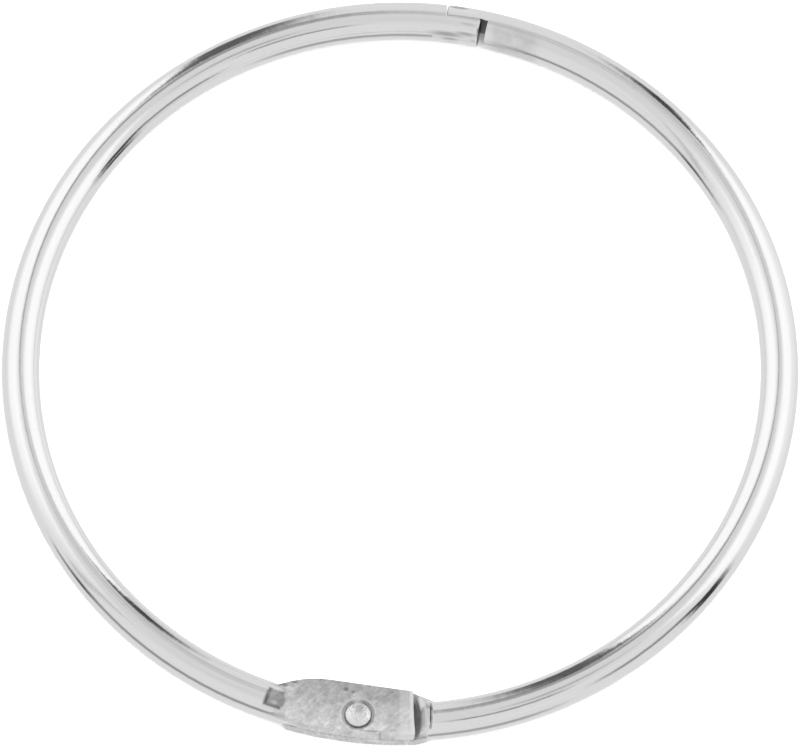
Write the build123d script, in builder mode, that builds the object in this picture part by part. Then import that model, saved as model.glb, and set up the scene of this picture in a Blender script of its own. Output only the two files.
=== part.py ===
from build123d import *
from math import cos, degrees, hypot, radians, sin, tan
import os

# Hinged loose-leaf binder ring, closed and lying flat.
# Z is up, the table is at z = 0, and the centre of the ring is on the Z axis.
# Angles are counted round the ring from +X, counter-clockwise seen from above.

# Ring
ring_inside_diameter = 76.2
wire_diameter = 4.0
hinge_angle = 263.7
closure_angle = 80.35

# Hinge plates: each half is pressed to half thickness, and the two lie on each other
plates_thickness = 3.1
plate_clearance = 0.06
plate_edge = 0.2
upper_plate_reach = 5.95
upper_plate_corner = 0.32
lower_plate_reach = 7.75
lower_plate_corner = 0.7
end_hollow = 0.08

# Outline of a plate: nearly flush with the wire outside, bulging inwards of it inside
plate_proud = 0.05
plate_flush_length = 5.6
plate_fade_run = 4.6
bulge_at_upper_end = 0.95
bulge_at_lower_end = 0.5
bulge_at_middle = 1.33
bulge_peak = 1.57
bulge_peak_length = 2.6
bulge_at_shoulder = 1.26
bulge_shoulder_length = 5.6
bulge_at_toe = 0.55
bulge_toe_length = 7.5
plate_neck = 9.8
plate_root = 1.0

# Ramp between the full wire and the plate
swing_clearance = 0.06
ramp_run = 0.7
land_length = 0.36
land_depth = 0.2
crease_width = 0.14
crease_depth = 0.16
oval_length = 7.9
oval_bulge = 1.4
oval_sink = 0.12

# Pressed marks on the upper plate
bevel_slope = 4.5
end_bevel_length = 1.75
side_bevel_length = 0.95
side_bevel_turn = 86
pocket_start = 9.8
pocket_length = 1.6
pocket_depth = 0.2
pocket_width = 1.75
pocket_shift = 0.15

# Rivet
rivet_diameter = 2.0
rivet_fixed_clearance = 0.01
rivet_running_clearance = 0.05
peened_diameter = 2.7
peened_height = 0.22
countersink_diameter = 3.2
countersink_angle = 90
rivet_head_diameter = 3.4
rivet_head_height = 0.32
rivet_rim_height = 0.08

# Snap closure: two half-thickness hooks, the inner one on the left half
hook_length = 3.64
hook_line = 0.2
hook_clearance = 0.06
inner_slot_width = 0.8
outer_slot_width = 0.16
notch_length = 0.9
notch_depth = 0.1
tooth_length = 0.6
tooth_height = 0.05
tip_break = 0.15
inner_flat_depth = 0.1
inner_flat_length = 4.4
inner_flat_elevation = 27
outer_flat_depth = 0.09
outer_flat_start = 0.3
outer_flat_length = 1.75
outer_flat_elevation = 42

# Sizes that follow
wire_radius = wire_diameter / 2
centre_radius = ring_inside_diameter / 2 + wire_radius
middle = wire_radius
plate_top = plates_thickness / 2
plate_face = plate_clearance / 2
beyond = 3 * wire_diameter
plate_fade_length = plate_flush_length + plate_fade_run


def arc(length):
    """Angle in degrees that a length along the centre line of the wire spans."""
    return degrees(length / centre_radius)


def on_ring(angle, offset):
    """Point in plan at an angle round the ring, offset outwards from the wire's centre line."""
    radius = centre_radius + offset
    return (radius * cos(radians(angle)), radius * sin(radians(angle)))


def section_plane(angle):
    """Plane across the wire: x outwards from the ring's axis, y up, origin at the ring's centre."""
    a = radians(angle)
    return Plane(origin=(0, 0, middle), x_dir=(cos(a), sin(a), 0), z_dir=(sin(a), -cos(a), 0))


def wire_arc(angle_from, angle_to):
    """Round wire between two angles of the ring."""
    with BuildSketch(section_plane(angle_from)) as section:
        with Locations((centre_radius, 0)):
            Circle(wire_radius)
    revolve(section.sketch, axis=Axis.Z, revolution_arc=angle_to - angle_from)


def cut_sector(angle_from, angle_to, inner, outer, low=-beyond, high=beyond):
    """Cut what lies between two angles, two offsets from the centre line and two heights."""
    with BuildSketch(section_plane(angle_from)) as section:
        with Locations((centre_radius + inner, low)):
            Rectangle(outer - inner, high - low, align=Align.MIN)
    revolve(section.sketch, axis=Axis.Z, revolution_arc=angle_to - angle_from, mode=Mode.SUBTRACT)


def press_flat(angle_from, angle_to, direction, depth):
    """Flat pressed along the wire; direction is the way it faces across the wire, from outwards."""
    with BuildSketch(section_plane(angle_from)) as section:
        with Locations((centre_radius, 0)):
            with PolarLocations(wire_radius - depth, 1, start_angle=direction):
                Rectangle(wire_radius, wire_diameter, align=(Align.MIN, Align.CENTER))
    revolve(section.sketch, axis=Axis.Z, revolution_arc=angle_to - angle_from, mode=Mode.SUBTRACT)


def break_tip(builder, angle, offset):
    """Chamfer the curved edges of the flat end face nearest to a point of the ring."""
    spot = Vector(*on_ring(angle, offset), middle)
    face = builder.faces().filter_by(GeomType.PLANE).sort_by_distance(spot)[0]
    chamfer(face.edges().filter_by(GeomType.LINE, reverse=True), tip_break)


# Hinge
rivet_axis = on_ring(hinge_angle, 0)
flush = wire_radius + plate_proud


def plate_end_radius(reach, end_bulge):
    """Distance from the rivet to the furthest corner of a plate's end."""
    angle = hinge_angle + arc(reach)
    corners = (on_ring(angle, flush), on_ring(angle, -wire_radius - end_bulge))
    return max(hypot(x - rivet_axis[0], y - rivet_axis[1]) for x, y in corners)


def hinge_plate(way, reach, end_bulge, corner):
    """Pressed plate above (1) or below (-1) the middle, reaching past the rivet that way round."""

    def spot(length, offset):
        return on_ring(hinge_angle + way * arc(length), offset)

    end_outer = spot(reach, flush)
    end_inner = spot(reach, -wire_radius - end_bulge)
    end_middle = spot(reach - end_hollow, (flush - wire_radius - end_bulge) / 2)
    flush_end = spot(-plate_flush_length, flush)
    along = Vector(spot(-plate_flush_length - 1, flush)) - Vector(flush_end)
    inner_root = spot(-plate_neck, -plate_root)
    outer_root = spot(-plate_fade_length, plate_root)
    with BuildSketch(Plane.XY.offset(middle + way * plate_face)) as outline:
        with BuildLine():
            flush_from = hinge_angle - way * arc(plate_flush_length)
            flush_arc = way * arc(plate_flush_length + reach)
            CenterArc((0, 0), centre_radius + flush, flush_from, flush_arc)
            ThreePointArc(end_outer, end_middle, end_inner)
            Spline(
                end_inner,
                spot(reach / 2, -wire_radius - bulge_at_middle),
                spot(-bulge_peak_length, -wire_radius - bulge_peak),
                spot(-bulge_shoulder_length, -wire_radius - bulge_at_shoulder),
                spot(-bulge_toe_length, -wire_radius - bulge_at_toe),
                inner_root,
            )
            Line(inner_root, outer_root)
            Spline(outer_root, flush_end, tangents=[along * -1, along * -1])
        make_face()
    with BuildPart(mode=Mode.PRIVATE) as plate:
        extrude(outline.sketch, amount=way * (plate_top - plate_face))
        end_spot = Vector(*spot(reach, 0), middle)
        corners = plate.edges().filter_by(Axis.Z).sort_by_distance(end_spot)[:2]
        fillet(corners, corner)
        broad_face = plate.faces().filter_by(Axis.Z).sort_by(Axis.Z)[-1 if way > 0 else 0]
        root_spot = Vector(*spot(-plate_fade_length, 0), middle + way * plate_top)
        fillet(broad_face.edges().sort_by_distance(root_spot)[1:], plate_edge)
    add(plate.part)


def swing_room(foot, way):
    """Cut the room for the other plate, above (1) or below (-1) the gap, with a crease behind its ramp."""
    land = wire_radius - land_depth
    land_from = foot + ramp_run
    land_to = land_from + land_length
    with BuildSketch(Plane(origin=(*rivet_axis, middle), x_dir=(1, 0, 0), z_dir=(0, -1, 0))) as room:
        with BuildLine():
            Polyline(
                (0, -way * plate_face),
                (foot, -way * plate_face),
                (land_from, way * land),
                (land_to, way * land),
                (land_to + crease_width / 2, way * (land - crease_depth)),
                (land_to + crease_width, way * land),
                (land_to + crease_width, way * beyond),
                (0, way * beyond),
                close=True,
            )
        make_face()
    revolve(room.sketch, axis=Axis(origin=(*rivet_axis, 0), direction=(0, 0, 1)), mode=Mode.SUBTRACT)


def bevel(turn, start):
    """Slope the upper plate's top down; turn is how far the slope faces from the end towards inside."""
    a = radians(hinge_angle + 90 + turn)
    drop = beyond * sin(radians(bevel_slope))
    plane = Plane(origin=(*rivet_axis, middle), x_dir=(cos(a), sin(a), 0), z_dir=(sin(a), -cos(a), 0))
    with BuildSketch(plane) as slope:
        with BuildLine():
            Polyline(
                (start, plate_top),
                (start + beyond, plate_top - drop),
                (start + beyond, beyond),
                (start, beyond),
                close=True,
            )
        make_face()
    extrude(slope.sketch, amount=beyond, both=True, mode=Mode.SUBTRACT)


right_ramp_foot = plate_end_radius(upper_plate_reach, bulge_at_upper_end) + swing_clearance
left_ramp_foot = plate_end_radius(lower_plate_reach, bulge_at_lower_end) + swing_clearance

# Snap closure
inner_tip = closure_angle - arc(hook_length / 2)
outer_tip = closure_angle + arc(hook_length / 2)
left_shoulder = outer_tip + arc(outer_slot_width)
right_shoulder = inner_tip - arc(inner_slot_width)
inner_hook_face = hook_line - hook_clearance / 2
outer_hook_face = hook_line + hook_clearance / 2

# Left half: upper hinge plate and inner hook
with BuildPart() as left_half_ring:
    wire_arc(inner_tip, hinge_angle - arc(plate_flush_length))

    # Inner hook, with a low tooth at its tip and a notch at its root
    cut_sector(inner_tip, left_shoulder, inner_hook_face + tooth_height, beyond)
    cut_sector(inner_tip + arc(tooth_length), left_shoulder, inner_hook_face, beyond)
    cut_sector(left_shoulder - arc(notch_length), left_shoulder, inner_hook_face - notch_depth, beyond)
    break_tip(left_half_ring, inner_tip, -wire_radius / 2)
    press_flat(inner_tip + arc(tooth_length), inner_tip + arc(tooth_length + inner_flat_length),
               180 - inner_flat_elevation, inner_flat_depth)

    # Upper plate with its flat neck and the pocket that the die left before it
    hinge_plate(1, upper_plate_reach, bulge_at_upper_end, upper_plate_corner)
    pocket_from = hinge_angle - arc(pocket_start)
    pocket_to = pocket_from + arc(pocket_length)
    pocket_inner = pocket_shift - pocket_width / 2
    cut_sector(pocket_to, pocket_to + arc(beyond), -beyond, beyond, plate_top, beyond)
    cut_sector(pocket_from, pocket_to, pocket_inner, pocket_inner + pocket_width,
               plate_top - pocket_depth, beyond)
    swing_room(left_ramp_foot, -1)
    bevel(0, upper_plate_reach - end_bevel_length)
    bevel(side_bevel_turn, wire_radius + bulge_peak - side_bevel_length)

    with Locations((*rivet_axis, middle + plate_top)):
        CounterSinkHole(rivet_diameter / 2 + rivet_fixed_clearance, countersink_diameter / 2,
                        plates_thickness, countersink_angle)

# Right half: lower hinge plate and outer hook
with BuildPart() as right_half_ring:
    oval_from = hinge_angle - 360 + arc(oval_length)
    wire_arc(oval_from, outer_tip)

    # The wire widens and flattens to an oval as it nears the plate
    with BuildSketch(section_plane(oval_from)) as round_section:
        with Locations((centre_radius, 0)):
            Circle(wire_radius)
    with BuildSketch(section_plane(hinge_angle + arc(plate_flush_length))) as oval_section:
        with Locations((centre_radius - (oval_bulge + oval_sink) / 2, 0)):
            Ellipse(wire_radius + (oval_bulge - oval_sink) / 2, plate_top - oval_sink)
    loft([round_section.sketch, oval_section.sketch])

    # Outer hook, with a low tooth at its tip and a notch at its root
    cut_sector(right_shoulder, outer_tip, -beyond, outer_hook_face - tooth_height)
    cut_sector(right_shoulder, outer_tip - arc(tooth_length), -beyond, outer_hook_face)
    cut_sector(right_shoulder, inner_tip + arc(notch_length), -beyond, outer_hook_face + notch_depth)
    break_tip(right_half_ring, outer_tip, wire_radius / 2)
    press_flat(outer_tip - arc(outer_flat_start + outer_flat_length), outer_tip - arc(outer_flat_start),
               outer_flat_elevation, outer_flat_depth)

    hinge_plate(-1, lower_plate_reach, bulge_at_lower_end, lower_plate_corner)
    swing_room(right_ramp_foot, 1)
    with Locations((*rivet_axis, middle)):
        Hole(rivet_diameter / 2 + rivet_running_clearance)


def dome_radius(base, height):
    """Radius of the sphere whose cap has this base radius and height."""
    return (base**2 + height**2) / (2 * height)


# Rivet: a low head below, its upper end peened into the countersink
with BuildPart() as hinge_rivet:
    shaft = rivet_diameter / 2
    peened = peened_diameter / 2
    head = rivet_head_diameter / 2
    flare = 1 / tan(radians(countersink_angle / 2))
    seat = plate_top - flare * countersink_diameter / 2 + rivet_fixed_clearance
    head_top = -plate_top - plate_face
    head_rim = head_top - rivet_rim_height
    head_dome = rivet_head_height - rivet_rim_height
    with BuildSketch(Plane(origin=(*rivet_axis, middle), x_dir=(1, 0, 0), z_dir=(0, -1, 0))) as half:
        with BuildLine():
            RadiusArc((head, head_rim), (0, head_rim - head_dome), dome_radius(head, head_dome))
            Polyline(
                (head, head_rim),
                (head, head_top),
                (shaft, head_top),
                (shaft, seat + flare * shaft),
                (peened, seat + flare * peened),
                (peened, plate_top),
            )
            RadiusArc((peened, plate_top), (0, plate_top + peened_height),
                      -dome_radius(peened, peened_height))
            Line((0, plate_top + peened_height), (0, head_rim - head_dome))
        make_face()
    revolve(axis=Axis(origin=(*rivet_axis, 0), direction=(0, 0, 1)))

left_half_ring.part.label = "left_half_ring"
right_half_ring.part.label = "right_half_ring"
hinge_rivet.part.label = "hinge_rivet"
os.makedirs("parts", exist_ok=True)
export_step(left_half_ring.part, "parts/left_half_ring.step")
export_step(right_half_ring.part, "parts/right_half_ring.step")
export_step(hinge_rivet.part, "parts/hinge_rivet.step")
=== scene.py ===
import math

import bpy
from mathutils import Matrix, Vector

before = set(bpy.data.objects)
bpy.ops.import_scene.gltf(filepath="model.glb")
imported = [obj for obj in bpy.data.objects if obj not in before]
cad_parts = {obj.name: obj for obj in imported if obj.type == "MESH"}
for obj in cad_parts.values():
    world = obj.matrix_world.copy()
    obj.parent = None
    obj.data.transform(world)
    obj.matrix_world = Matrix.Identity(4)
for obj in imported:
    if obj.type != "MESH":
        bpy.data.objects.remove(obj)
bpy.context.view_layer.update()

MM_PER_METRE = 1000.0

# Ring, hinge and closure in millimetres, as in the solids. Along the wire and counter-clockwise, t counts
# from the rivet and c from the closure; out counts outwards from the wire's middle.
CENTRE_RADIUS = 40.1
WIRE_RADIUS = 2.0
MIDDLE = WIRE_RADIUS
HINGE_ANGLE = math.radians(263.7)
CLOSURE_ANGLE = math.radians(80.35)
RIVET_X = CENTRE_RADIUS * math.cos(HINGE_ANGLE)
RIVET_Y = CENTRE_RADIUS * math.sin(HINGE_ANGLE)
PEENED_RADIUS = 1.35
COUNTERSINK_RADIUS = 1.6
PLATE_TOP = 3.55
UPPER_PLATE_END = 5.95
POCKET_START = -9.8
POCKET_END = -8.2
HOOK_LINE = 0.2
HOOK_HALF_LENGTH = 1.82

# About where the right half's ramp, land and crease start, by distance from the rivet's axis
RAMP_FOOT = 6.7
LAND_START = 7.4
CREASE_START = 7.76

# Looks: reflectance of the plating, grey of painted highlights, and depths of relief in metres
METAL = 0.78
PAINTED_HIGHLIGHT = 0.85
DRAWN_LINE_DEPTH = 0.000004
WAVE_DEPTH = 0.000012
PLATE_MARK_DEPTH = 0.00007
RIVET_DENT_DEPTH = 0.00016
RIVET_GRAIN_DEPTH = 0.00003


class Graph:
    """Short words for the nodes of a material or world."""

    def __init__(self, owner):
        owner.use_nodes = True
        self.tree = owner.node_tree
        self.tree.nodes.clear()

    def node(self, kind, **settings):
        n = self.tree.nodes.new(kind)
        for key, value in settings.items():
            setattr(n, key, value)
        return n

    def put(self, socket, value):
        if isinstance(value, bpy.types.NodeSocket):
            self.tree.links.new(value, socket)
        else:
            socket.default_value = value

    def math(self, operation, *values):
        n = self.node("ShaderNodeMath", operation=operation)
        for socket, value in zip(n.inputs, values):
            self.put(socket, value)
        return n.outputs[0]

    def less(self, a, b):
        return self.math("SUBTRACT", a, b)

    def product(self, *values):
        out = values[0]
        for v in values[1:]:
            out = self.math("MULTIPLY", out, v)
        return out

    def sum(self, *values):
        out = values[0]
        for v in values[1:]:
            out = self.math("ADD", out, v)
        return out

    def largest(self, *values):
        out = values[0]
        for v in values[1:]:
            out = self.math("MAXIMUM", out, v)
        return out

    def step(self, value, start, end, low=0.0, high=1.0):
        """Smooth change from low at start to high at end."""
        n = self.node("ShaderNodeMapRange", interpolation_type="SMOOTHSTEP")
        if start > end:
            start, end, low, high = end, start, high, low
        settings = {"Value": value, "From Min": start, "From Max": end, "To Min": low, "To Max": high}
        for key, v in settings.items():
            self.put(n.inputs[key], v)
        return n.outputs["Result"]

    def window(self, value, start, end, soft_start, soft_end):
        """1 between start and end, 0 outside, each edge with its own softness."""
        rise = self.step(value, start - soft_start / 2, start + soft_start / 2)
        fall = self.step(value, end + soft_end / 2, end - soft_end / 2)
        return self.product(rise, fall)

    def mix(self, share, a, b):
        n = self.node("ShaderNodeMix", data_type="FLOAT")
        for socket, v in zip((n.inputs[0], n.inputs[2], n.inputs[3]), (share, a, b)):
            self.put(socket, v)
        return n.outputs[0]

    def vector(self, x, y, z):
        n = self.node("ShaderNodeCombineXYZ")
        for socket, v in zip(n.inputs, (x, y, z)):
            self.put(socket, v)
        return n.outputs[0]

    def split(self, vector):
        n = self.node("ShaderNodeSeparateXYZ")
        self.put(n.inputs[0], vector)
        return n.outputs

    def noise(self, vector, scale, detail, rough):
        n = self.node("ShaderNodeTexNoise", noise_dimensions="3D")
        self.put(n.inputs["Vector"], vector)
        self.put(n.inputs["Scale"], scale)
        self.put(n.inputs["Detail"], detail)
        self.put(n.inputs["Roughness"], rough)
        return n.outputs["Fac"]

    def grey(self, value):
        """Colour of one value."""
        n = self.node("ShaderNodeCombineColor")
        for socket in n.inputs:
            self.put(socket, value)
        return n.outputs[0]


class Room(Graph):
    """World round the ring, with azimuth and elevation in degrees as seen from it."""

    def __init__(self, name):
        self.world = bpy.data.worlds.new(name)
        super().__init__(self.world)
        x, y, z = self.split(self.node("ShaderNodeTexCoord").outputs["Generated"])
        self.azimuth = self.product(self.math("ARCTAN2", y, x), 180 / math.pi)
        self.elevation = self.product(self.math("ARCSINE", z), 180 / math.pi)

    def field(self, around, up, amount):
        """Lighter or darker field; around and up each hold start, end and the softness of both ends."""
        # Azimuth from the field's middle, between half a turn less and half a turn more
        turn = 360.0
        middle = (around[0] + around[1]) / 2
        positive = self.math("FLOORED_MODULO", self.sum(self.azimuth, 1.5 * turn - middle), turn)
        from_middle = self.less(positive, turn / 2)
        across = self.window(from_middle, around[0] - middle, around[1] - middle, *around[2:])
        return self.product(across, self.window(self.elevation, *up), amount)


def linear(shade):
    """Scene value of a display shade from 0 to 255."""
    return (shade / 255.0) ** 2.2


def studio():
    """Light grey room with two large soft boxes behind, left and right, and dark gaps between them."""
    walls = linear(216)
    ceiling = linear(208)
    darkest = 0.03
    paper_light = 3.0
    g = Room("studio")
    level = g.sum(
        g.step(g.elevation, 50.0, 70.0, 0.0, ceiling - walls), walls,
        # Soft boxes right and left, and the light that the right one throws on the table
        g.field((-16, 60, 10, 3), (12, 61, 34, 24), 0.27),
        g.field((111, 178, 4, 40), (9, 63, 36, 22), 0.26),
        g.field((0, 48, 40, 18), (-24, 10, 34, 34), 0.10),
        # Dark gaps between the boxes and the back wall, bending in at the top
        g.field((60, 69, 3, 8), (12, 44, 14, 14), -0.66),
        g.field((68, 84, 6, 12), (45, 62, 8, 10), -0.20),
        g.field((99, 111, 9, 3), (0, 47, 14, 12), -0.60),
        g.field((90, 105, 10, 6), (44, 68, 8, 8), -0.38),
        # Edges of the opening for the camera
        g.field((283, 312, 10, 12), (52, 61, 6, 6), -0.40),
        g.field((310, 352, 12, 16), (69, 77, 5, 5), -0.24),
        # Shadows along the table's edge and at the room's front corners
        g.field((189, 200, 6, 8), (-21, -7, 9, 9), -0.42),
        g.field((196, 246, 8, 10), (-17, 1, 10, 10), -0.40),
        g.field((246, 264, 10, 10), (-29, -18, 9, 6), -0.32),
        g.field((262, 302, 10, 14), (-40, -19, 11, 11), -0.33),
        g.field((193, 199, 5, 5), (14, 54, 12, 12), -0.20),
        g.field((334, 344, 8, 7), (-16, 15, 10, 9), -0.72),
        g.field((312, 336, 10, 5), (8, 22, 7, 7), -0.42),
    )
    # The metal reflects the room; the paper and the camera get plain white light instead
    room = g.math("DIVIDE", g.largest(level, darkest), METAL)
    ray = g.node("ShaderNodeLightPath").outputs
    direct = g.largest(ray["Is Camera Ray"], ray["Is Diffuse Ray"])
    background = g.node("ShaderNodeBackground")
    g.put(background.inputs["Color"], g.grey(g.mix(direct, room, paper_light)))
    g.put(background.inputs["Strength"], 1.0)
    g.put(g.node("ShaderNodeOutputWorld").inputs[0], background.outputs[0])
    return g.world


def white_paper():
    material = bpy.data.materials.new("white_paper")
    g = Graph(material)
    shader = g.node("ShaderNodeBsdfPrincipled")
    g.put(shader.inputs["Base Color"], (0.85, 0.85, 0.85, 1.0))
    g.put(shader.inputs["Roughness"], 0.9)
    g.put(shader.inputs["Specular IOR Level"], 0.0)
    g.put(g.node("ShaderNodeOutputMaterial").inputs[0], shader.outputs[0])
    return material


class Metal(Graph):
    """Nickel-plated steel, with places in millimetres."""

    def __init__(self, name):
        self.material = bpy.data.materials.new(name)
        super().__init__(self.material)
        scaled = self.node("ShaderNodeVectorMath", operation="SCALE")
        self.put(scaled.inputs[0], self.node("ShaderNodeTexCoord").outputs["Object"])
        self.put(scaled.inputs["Scale"], MM_PER_METRE)
        self.place = scaled.outputs[0]
        self.x, self.y, self.z = self.split(self.place)
        right = self.less(self.x, RIVET_X)
        back = self.less(self.y, RIVET_Y)
        self.from_rivet = self.length(right, back)
        # Stretch at the back of the rivet, where no painted shade lies round its edge, in radians from the
        # right
        self.behind_rivet = self.window(self.math("ARCTAN2", back, right), 1.35, 1.85, 0.4, 0.4)

    def length(self, a, b):
        return self.math("SQRT", self.sum(self.product(a, a), self.product(b, b)))

    def spot(self, a, b, at, half, soft=0.5):
        """1 inside an ellipse in two values, fading to 0 outside; at is its middle, half its half axes."""
        away = self.length(
            self.math("DIVIDE", self.less(a, at[0]), half[0]),
            self.math("DIVIDE", self.less(b, at[1]), half[1]))
        return self.step(away, 1 + soft, 1 - soft)

    def above(self, low, high):
        """0 below the height low, 1 above the height high."""
        return self.step(self.z, low, high)

    def bump(self, height, distance, normal=None):
        n = self.node("ShaderNodeBump")
        self.put(n.inputs["Height"], height)
        self.put(n.inputs["Distance"], distance)
        if normal is not None:
            self.put(n.inputs["Normal"], normal)
        return n.outputs[0]

    def upward(self, share, normal):
        """Turn the normal towards the sky, as a rounded edge or a soft fillet does."""
        n = self.node("ShaderNodeMix", data_type="VECTOR")
        self.put(n.inputs[0], share)
        self.put(n.inputs[4], normal)
        self.put(n.inputs[5], (0.0, 0.0, 1.0))
        unit = self.node("ShaderNodeVectorMath", operation="NORMALIZE")
        self.put(unit.inputs[0], n.outputs[1])
        return unit.outputs[0]

    def finish(self, base, roughness, normal):
        shader = self.node("ShaderNodeBsdfPrincipled")
        self.put(shader.inputs["Metallic"], 1.0)
        self.put(shader.inputs["Base Color"], self.grey(base))
        self.put(shader.inputs["Roughness"], roughness)
        self.put(shader.inputs["Normal"], normal)
        self.put(self.node("ShaderNodeOutputMaterial").inputs[0], shader.outputs[0])
        return self.material


class HalfRing(Metal):
    """Metal of one half, with places along its wire, noises, and lists of masks for its marks, painted
    shade and painted highlights.
    """

    def __init__(self, name):
        super().__init__(name)
        self.radius = self.length(self.x, self.y)
        self.out = self.less(self.radius, CENTRE_RADIUS)
        self.angle = self.math("ARCTAN2", self.y, self.x)
        self.t = self.along(HINGE_ANGLE)
        self.c = self.along(CLOSURE_ANGLE)
        self.coarse = self.noise(self.place, scale=0.55, detail=3.0, rough=0.6)
        self.fine = self.noise(self.place, scale=2.6, detail=3.0, rough=0.65)
        self.dark = []
        self.light = []
        self.turned_up = []

    def along(self, start):
        """Length along the wire from an angle of the ring, counter-clockwise."""
        start = (start + math.pi) % (2 * math.pi) - math.pi
        return self.product(self.less(self.angle, start), CENTRE_RADIUS)

    def darken(self, *masks):
        """Painted shade, and also pits, stains and other dark marks, as strong as the product of the
        masks.
        """
        self.dark.append(self.product(*masks))

    def lighten(self, *masks):
        """Painted highlight, as strong as the product of the masks."""
        self.light.append(self.product(*masks))

    def turn_up(self, *masks):
        """Shading turned to the sky, by the product of the masks."""
        self.turned_up.append(self.product(*masks))

    def hinge_spot(self, at, half, soft=0.5):
        """Spot near the hinge, placed by t and out."""
        return self.spot(self.t, self.out, at, half, soft)

    def closure_spot(self, at, half, soft=0.5):
        """Spot near the closure, placed by c and out."""
        return self.spot(self.c, self.out, at, half, soft)


def drawn_lines(g):
    """Fine lines that follow the wire, as drawing leaves them."""
    across = 3.2
    along = 0.05
    vector = g.vector(
        g.sum(g.product(g.radius, across), g.product(g.x, along)),
        g.sum(g.product(g.z, across), g.product(g.y, along)),
        g.product(g.x, along))
    return g.noise(vector, scale=1.0, detail=2.0, rough=0.6)


def scratches(g, turn, seed):
    """Straight fine scratches one way across the plate, turned by some degrees."""
    along = 0.75
    across = 2.8
    upwards = 0.4
    cosine = math.cos(math.radians(turn))
    sine = math.sin(math.radians(turn))
    vector = g.vector(
        g.sum(g.product(g.x, along * cosine), g.product(g.y, along * sine)),
        g.sum(g.product(g.x, -across * sine), g.product(g.y, across * cosine)),
        g.sum(g.product(g.z, upwards), seed))
    return g.noise(vector, scale=1.0, detail=3.0, rough=0.6)


def rivet_groove(g):
    """Painted shade in the groove round the rivet, none at its back, and a painted highlight on a rim
    round it.
    """
    groove = g.step(g.from_rivet, COUNTERSINK_RADIUS + 0.18, COUNTERSINK_RADIUS + 0.04)
    g.darken(groove, g.above(3.0, 3.2), g.mix(g.behind_rivet, 0.4, 0.0))
    cone = g.window(g.from_rivet, PEENED_RADIUS + 0.01, COUNTERSINK_RADIUS, 0.02, 0.02)
    g.turn_up(cone, g.above(3.2, 3.3), 0.5)
    rim = g.window(g.from_rivet, COUNTERSINK_RADIUS + 0.2, COUNTERSINK_RADIUS + 0.4, 0.14, 0.24)
    g.lighten(rim, g.above(PLATE_TOP - 0.05, PLATE_TOP - 0.01), 0.3)


def die_pocket(g):
    """Painted shade on the pocket's floor and walls, darkest at its deep end and its outer side."""
    pocket = g.product(
        g.window(g.t, POCKET_START - 0.15, POCKET_END + 0.15, 0.3, 0.4),
        g.window(g.out, -0.85, 1.2, 0.2, 0.2))
    ground = g.step(g.z, PLATE_TOP + 0.01, PLATE_TOP - 0.05)
    g.darken(pocket, ground, g.step(g.out, -1.0, 0.2, 0.5, 1.0), g.sum(0.26, g.product(g.fine, 0.3)))
    deep_end = g.step(g.t, POCKET_START + 0.55, POCKET_START + 0.05)
    g.darken(pocket, deep_end, g.step(g.out, -0.9, 0.3, 0.35, 0.68))
    g.darken(pocket, g.step(g.out, 0.35, 0.95), 0.68)
    # Painted shadow at the pocket's shallow end, and a small painted highlight inside the pocket
    g.darken(g.hinge_spot((-8.1, 0.3), (0.28, 0.7)), 0.4)
    g.lighten(g.hinge_spot((-8.9, 0.5), (0.3, 0.22)), 0.5)
    lengthwise = g.window(g.t, POCKET_START - 0.2, POCKET_END + 0.2, 0.1, 0.2)
    g.turn_up(lengthwise, g.window(g.z, 3.37, 3.53, 0.01, 0.01), 0.8)


def upper_plate_wear_and_painted_light(g):
    """Painted shade and a painted highlight at the crease at the plate's inner root, pits, a nick in its
    outer edge drawn with painted shade and a painted highlight, and painted highlights on the plate's end.
    """
    # Painted shade in the crease at the plate's inner root, and a painted highlight below it
    g.darken(g.hinge_spot((-7.6, -2.3), (0.5, 0.16)), 0.45)
    g.darken(g.hinge_spot((-8.4, -1.62), (0.32, 0.2)), 0.5)
    g.lighten(g.hinge_spot((-7.85, -1.45), (0.5, 0.22)), 0.6)

    # Pits
    g.darken(g.hinge_spot((-1.7, -2.7), (0.24, 0.2), soft=0.8), 0.5)
    g.darken(g.hinge_spot((-0.9, -2.5), (0.2, 0.17), soft=0.8), 0.45)

    # Nick in the outer edge: painted shade in it, and a painted highlight on its lip
    g.darken(g.hinge_spot((1.35, 1.75), (1.15, 0.11), soft=0.8), 0.34)
    g.darken(g.hinge_spot((2.4, 2.0), (0.12, 0.3), soft=0.8), 0.3)
    g.lighten(g.hinge_spot((1.2, 2.05), (1.0, 0.13), soft=0.8), 0.4)

    # Painted highlight on the slope at the plate's end, brightest at its edge and its outer corner
    past_end = UPPER_PLATE_END + 0.55
    slope = g.product(g.window(g.t, UPPER_PLATE_END - 1.58, past_end, 0.45, 0.1), g.above(3.3, 3.35))
    edge = g.step(g.t, UPPER_PLATE_END - 0.55, UPPER_PLATE_END - 0.35, 0.0, 0.5)
    g.lighten(slope, g.sum(0.36, edge))
    corner = g.window(g.t, UPPER_PLATE_END - 1.65, past_end, 0.9, 0.1)
    g.lighten(corner, g.step(g.out, 0.9, 1.9), 0.9)


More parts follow.
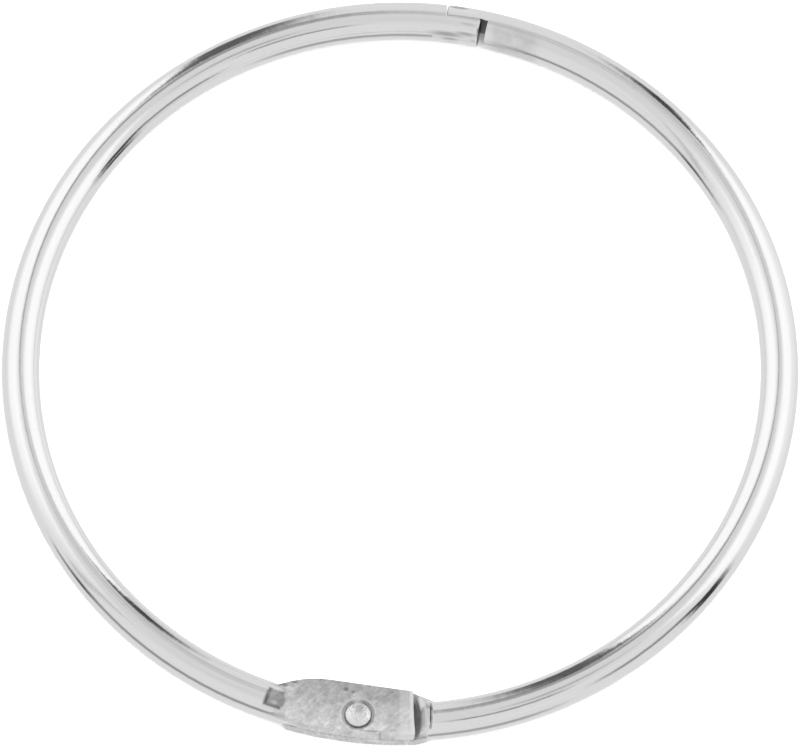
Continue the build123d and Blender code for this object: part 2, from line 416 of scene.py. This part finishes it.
def ramp_shade_and_highlight(g):
    """Painted shade between the upper plate's end and the ramp, a soft ramp, and painted shade in the
    crease behind its land.
    """
    foot = g.sum(g.from_rivet, g.product(g.out, g.out, 0.08))
    gap = g.window(g.t, UPPER_PLATE_END - 0.4, LAND_START + 0.2, 0.7, 0.2)
    face = g.product(g.above(1.9, 1.95), g.step(g.out, -2.7, -1.9))
    g.darken(gap, face, g.step(foot, LAND_START + 0.05, RAMP_FOOT - 0.5), 0.74)
    ramp = g.product(
        g.step(g.t, UPPER_PLATE_END - 0.25, UPPER_PLATE_END - 0.05),
        g.step(g.from_rivet, LAND_START + 0.2, LAND_START + 0.1),
        g.window(g.z, 2.0, 3.79, 0.02, 0.01))
    g.turn_up(ramp, g.step(g.from_rivet, RAMP_FOOT - 0.1, RAMP_FOOT + 0.5, 0.7, 0.9))
    crease = g.window(g.from_rivet, CREASE_START - 0.16, CREASE_START + 0.1, 0.1, 0.1)
    g.darken(crease, g.window(g.t, 6.5, 8.2, 0.2, 0.2), g.above(3.2, 3.4), 0.5)
    # Painted highlight on the lip at the ramp's inner side
    g.lighten(g.hinge_spot((6.9, -1.9), (0.9, 0.7)), g.above(2.1, 2.4), 0.8)


def cut_faces(g):
    """Cut faces of the hooks, dull and with painted shade, and a painted highlight along the parting line.
    """
    inside = g.step(g.length(g.out, g.less(g.z, MIDDLE)), WIRE_RADIUS - 0.1, WIRE_RADIUS - 0.2)
    cut = g.product(inside, g.window(g.c, -2.9, 2.5, 0.2, 0.2))
    parting = g.product(
        g.window(g.out, HOOK_LINE - 0.22, HOOK_LINE + 0.22, 0.08, 0.08),
        g.window(g.c, -HOOK_HALF_LENGTH + 0.1, 2.1, 0.1, 0.1))
    g.darken(cut, g.step(g.c, 1.6, 1.75, 0.9, 0.3), g.mix(parting, 1.0, 0.0))
    g.lighten(cut, parting, 0.9)
    g.turn_up(inside, parting, g.above(3.1, 3.4), 0.95)


def inner_hook_marks(g):
    """Long dark marks on the inner hook and beside it."""
    g.darken(g.closure_spot((-0.6, -0.55), (0.75, 0.14)), 0.16)
    g.darken(g.closure_spot((1.6, -1.62), (1.5, 0.13), soft=0.8), 0.42)
    g.darken(g.closure_spot((1.2, -1.9), (0.8, 0.07), soft=0.8), 0.36)
    g.darken(g.closure_spot((-0.6, -1.45), (1.1, 0.12), soft=0.8), 0.36)


def outer_hook_marks(g):
    """Painted dark reflection on the filed flat of the outer hook, painted shade at the bottom of the
    slot, faint stains and a painted highlight on a dent.
    """
    g.darken(g.closure_spot((0.65, 1.46), (0.85, 0.24), soft=0.4), g.above(2.8, 3.0), 0.46)
    slot = g.product(g.window(g.c, -2.65, -1.75, 0.1, 0.1), g.window(g.out, 0.18, 0.55, 0.04, 0.2))
    g.darken(slot, g.step(g.z, 1.2, 0.8), 0.85)
    stains = g.noise(g.place, scale=0.8, detail=2.0, rough=0.5)
    g.darken(stains, g.window(g.c, -8.5, -3.4, 2.0, 1.2), g.step(g.out, 0.6, -0.6), 0.3)
    g.lighten(g.closure_spot((-0.6, 1.0), (0.75, 0.25)), 0.3)


def bright_wire(g, lines):
    """Colour and roughness of the drawn wire, a little duller round the closure, where it is handled."""
    base = g.sum(METAL * 0.93, g.product(lines, METAL * 0.09), g.product(g.fine, METAL * 0.05))
    handled = g.window(g.c, -8.0, 7.0, 4.0, 4.0)
    return base, g.sum(0.07, g.product(g.coarse, 0.06), g.product(handled, 0.07))


def matt_plate(g):
    """Colour, roughness and relief of the pressed plate: scratched two ways, mottled, and with painted
    light that grows outwards.
    """
    mottled = g.noise(g.place, scale=0.95, detail=5.0, rough=0.75)
    strokes = g.step(scratches(g, turn=38, seed=0.0), 0.45, 0.85)
    marks = g.sum(
        g.product(strokes, 0.2), g.product(scratches(g, turn=-30, seed=9.0), 0.14),
        g.product(mottled, 0.7), g.product(g.fine, 0.3))
    # Painted light: the plate grows lighter towards its outer side
    base = g.product(g.sum(0.01, marks), g.step(g.out, -3.2, 2.2, 0.84, 1.22))
    return base, g.sum(0.34, g.product(mottled, 0.2)), marks


def wire_and_plate(g, pressed):
    """Bright wire, matt plate where the mask pressed is 1, and the marks, painted shade and painted
    highlights on both.
    """
    lines = drawn_lines(g)
    wire, wire_roughness = bright_wire(g, lines)
    plate, plate_roughness, marks = matt_plate(g)
    # Painted shade and real marks darken the colour; painted highlights mix it towards a light grey
    painted_shade_and_marks = g.largest(*g.dark)
    base = g.product(g.mix(pressed, wire, plate), g.less(1.0, painted_shade_and_marks))
    base = g.mix(g.largest(*g.light), base, PAINTED_HIGHLIGHT)
    roughness = g.largest(g.mix(pressed, wire_roughness, plate_roughness), g.product(painted_shade_and_marks, 0.5))

    # Relief: drawn lines and long soft waves on the wire, scratches and mottling on the plate
    bright = g.less(1.0, pressed)
    normal = g.bump(g.product(lines, bright), DRAWN_LINE_DEPTH)
    normal = g.bump(g.product(g.coarse, bright), WAVE_DEPTH, normal)
    normal = g.bump(g.product(marks, pressed), PLATE_MARK_DEPTH, normal)
    return g.finish(base, roughness, g.upward(g.largest(*g.turned_up), normal))


def left_half():
    """Left half; near its root the plate is pressed on the wire's upper side only."""
    g = HalfRing("nickel_left")
    rivet_groove(g)
    die_pocket(g)
    upper_plate_wear_and_painted_light(g)
    cut_faces(g)
    inner_hook_marks(g)
    plate = g.window(g.t, -8.6, 7.5, 1.0, 0.2)
    upper_side = g.above(3.0, 3.4)
    past_root = g.step(g.t, -7.2, -6.4)
    return wire_and_plate(g, g.product(plate, g.largest(upper_side, past_root)))


def right_half():
    g = HalfRing("nickel_right")
    ramp_shade_and_highlight(g)
    cut_faces(g)
    outer_hook_marks(g)
    plate = g.window(g.t, -9.0, 7.1, 0.3, 0.3)
    return wire_and_plate(g, plate)


def rivet():
    """Peened head, with small dents, a faint darker patch and painted shade at its rim."""
    g = Metal("rivet_nickel")
    dents = g.noise(g.place, scale=1.5, detail=3.0, rough=0.6)
    grain = g.noise(g.place, scale=5.0, detail=2.0, rough=0.6)
    # Painted shade round the head's edge where it meets the groove, none at its back
    rim = g.step(g.from_rivet, PEENED_RADIUS - 0.15, PEENED_RADIUS - 0.01)
    rim = g.product(rim, g.mix(g.behind_rivet, 0.4, 0.0))
    grey_patch = g.spot(g.x, g.y, (RIVET_X + 0.2, RIVET_Y + 0.6), (0.42, 0.5), soft=0.6)
    painted_shade_and_marks = g.largest(rim, g.product(grey_patch, g.above(3.0, 3.2), 0.28))
    base = g.product(g.sum(0.62, g.product(dents, 0.2), g.product(grain, 0.14)), g.less(1.0, painted_shade_and_marks))
    normal = g.bump(grain, RIVET_GRAIN_DEPTH, g.bump(dents, RIVET_DENT_DEPTH))
    return g.finish(base, g.sum(0.2, g.product(grain, 0.15)), normal)


MATERIALS = {
    "left_half_ring": left_half(),
    "right_half_ring": right_half(),
    "hinge_rivet": rivet(),
}
for name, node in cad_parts.items():
    node.data.materials.clear()
    node.data.materials.append(MATERIALS[name])

# Studio, and a floor of white paper lit so brightly that only the deepest shadow shows, in metres
FLOOR_SIZE = 3.0
FLOOR_GAP = 0.00002
bpy.context.scene.world = studio()
bpy.ops.mesh.primitive_plane_add(size=FLOOR_SIZE, location=(0, 0, -FLOOR_GAP))
floor = bpy.context.object
floor.name = "floor"
floor.data.materials.append(white_paper())
floor.visible_glossy = False

# Camera: long lens, 67.5 degrees above the table, in metres
ELEVATION = math.radians(67.5)
DISTANCE = 3.0
AIM = Vector((0.0, -0.00037, MIDDLE / MM_PER_METRE))
PHOTO_WIDTH = 800
PIXELS_PER_METRE = 9465
cam = bpy.data.cameras.new("camera")
cam.sensor_width = 36.0
cam.lens = PIXELS_PER_METRE * DISTANCE * cam.sensor_width / PHOTO_WIDTH
cam.clip_end = 100.0
camera = bpy.data.objects.new("camera", cam)
bpy.context.scene.collection.objects.link(camera)
towards_camera = Vector((0.0, -math.cos(ELEVATION), math.sin(ELEVATION)))
camera.location = AIM + towards_camera * DISTANCE
camera.rotation_mode = "QUATERNION"
camera.rotation_quaternion = (-towards_camera).to_track_quat("-Z", "Y")
bpy.context.scene.camera = camera
bpy.context.scene.view_settings.view_transform = "Standard"
